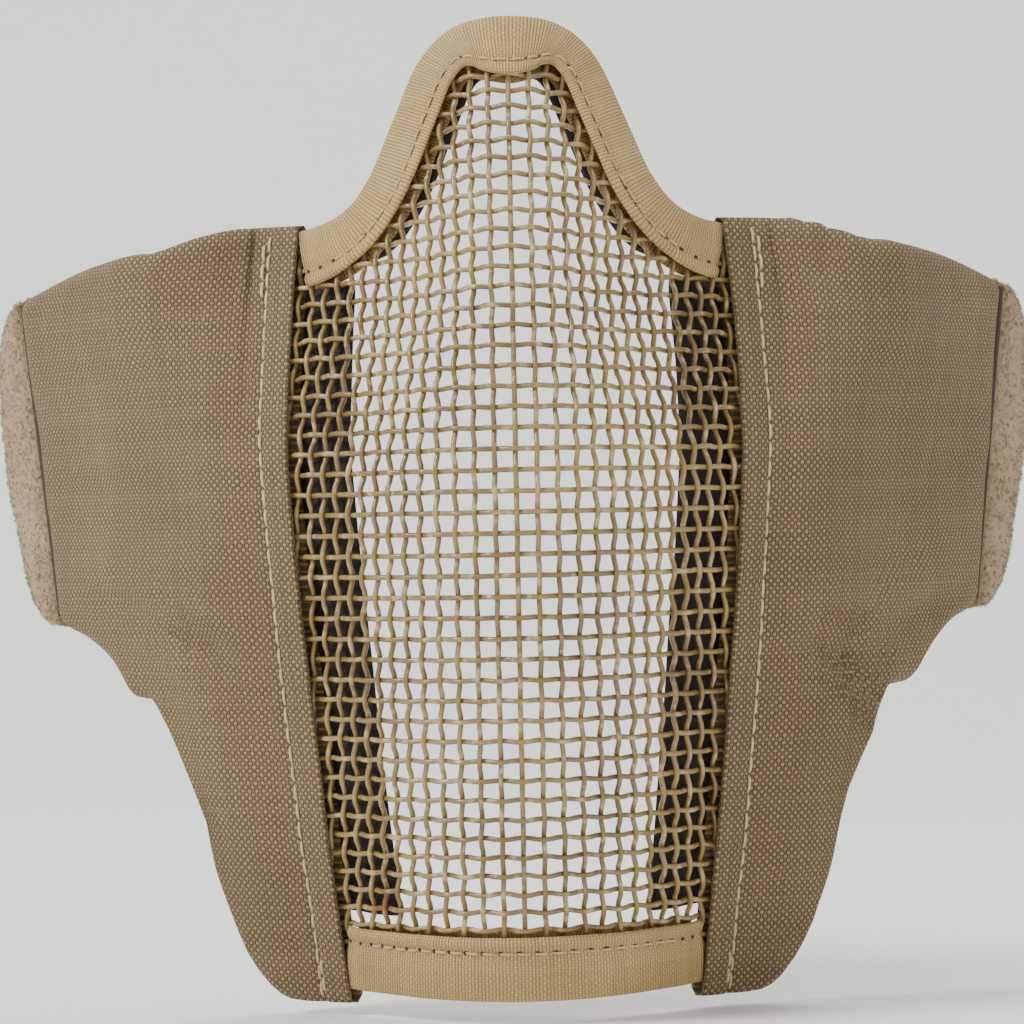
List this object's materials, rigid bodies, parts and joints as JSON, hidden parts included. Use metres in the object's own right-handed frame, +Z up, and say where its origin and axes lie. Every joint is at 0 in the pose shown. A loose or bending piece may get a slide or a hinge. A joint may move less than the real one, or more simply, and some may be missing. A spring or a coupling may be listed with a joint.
{
  "type": "lower face mask",
  "caption": "Lower-face mask with a domed wire mesh front in folded tape edging, padded cloth cheek panels, folding ear flaps edged in loop pile, and short elastic strap halves with sliders.",
  "frame": {"origin": "where the wearer's lips rest, 21 mm behind the foremost point of the mesh, on the plane of symmetry", "axes": "+Z up towards the nose, -Y towards the front of the mask, +X towards the side called right, which is the viewer's right from the front"},
  "size_m": [0.2194, 0.1124, 0.196],
  "materials": {
    "mesh_paint": "satin",
    "tape": "matte",
    "pad_foam": "matte",
    "thread": "matte",
    "cloth": "matte",
    "lining": "matte",
    "loop_pile": "matte",
    "webbing": "matte",
    "slider_plastic": "satin"
  },
  "bodies": {
    "face": {"wire_mesh_panel": "mesh_paint", "nose_binding": "tape", "nose_pad": "pad_foam", "nose_stitching": "thread", "chin_binding": "tape", "chin_pad": "pad_foam", "chin_stitching": "thread", "left_hem": "cloth", "left_hem_stitching": "thread", "left_side_pad": "pad_foam", "left_cheek_cover": "cloth", "left_cheek_foam": "pad_foam", "left_cheek_lining": "lining", "left_fold": "cloth", "right_hem": "cloth", "right_hem_stitching": "thread", "right_side_pad": "pad_foam", "right_cheek_cover": "cloth", "right_cheek_foam": "pad_foam", "right_cheek_lining": "lining", "right_fold": "cloth"},
    "left_flap": {"left_ear_cover": "cloth", "left_ear_foam": "pad_foam", "left_ear_lining": "lining", "left_pile_edge": "loop_pile", "left_pile_stitching": "thread", "left_strap_anchor": "webbing"},
    "left_strap": {"left_strap_web": "webbing", "left_strap_tab": "loop_pile"},
    "left_slider": {"left_strap_slider": "slider_plastic"},
    "right_flap": {"right_ear_cover": "cloth", "right_ear_foam": "pad_foam", "right_ear_lining": "lining", "right_pile_edge": "loop_pile", "right_pile_stitching": "thread", "right_strap_anchor": "webbing"},
    "right_strap": {"right_strap_web": "webbing", "right_strap_tab": "loop_pile"},
    "right_slider": {"right_strap_slider": "slider_plastic"}
  },
  "joints": [
    {"name": "left_flap_fold", "type": "hinge", "parent": "face", "child": "left_flap", "pos_m": [-0.074, 0.039, 0], "axis": [0, 0, -1], "range_deg": [-20, 30], "stiffness_Nm_per_rad": 0.12, "deforming": ["left_fold"]},
    {"name": "left_strap_swing", "type": "hinge", "parent": "left_flap", "child": "left_strap", "pos_m": [-0.09391, 0.08509, 0.002], "axis": [0, 0, 1], "range_deg": [0, 160]},
    {"name": "left_slider_slide", "type": "slide", "parent": "left_strap", "child": "left_slider", "axis": [0.7071, -0.7071, 0], "range_m": [0, 0.0085]},
    {"name": "right_flap_fold", "type": "hinge", "parent": "face", "child": "right_flap", "pos_m": [0.074, 0.039, 0], "axis": [0, 0, 1], "range_deg": [-20, 30], "stiffness_Nm_per_rad": 0.12, "deforming": ["right_fold"]},
    {"name": "right_strap_swing", "type": "hinge", "parent": "right_flap", "child": "right_strap", "pos_m": [0.09391, 0.08509, 0.002], "axis": [0, 0, -1], "range_deg": [0, 160]},
    {"name": "right_slider_slide", "type": "slide", "parent": "right_strap", "child": "right_slider", "axis": [-0.7071, -0.7071, 0], "range_m": [0, 0.0085]}
  ]
}
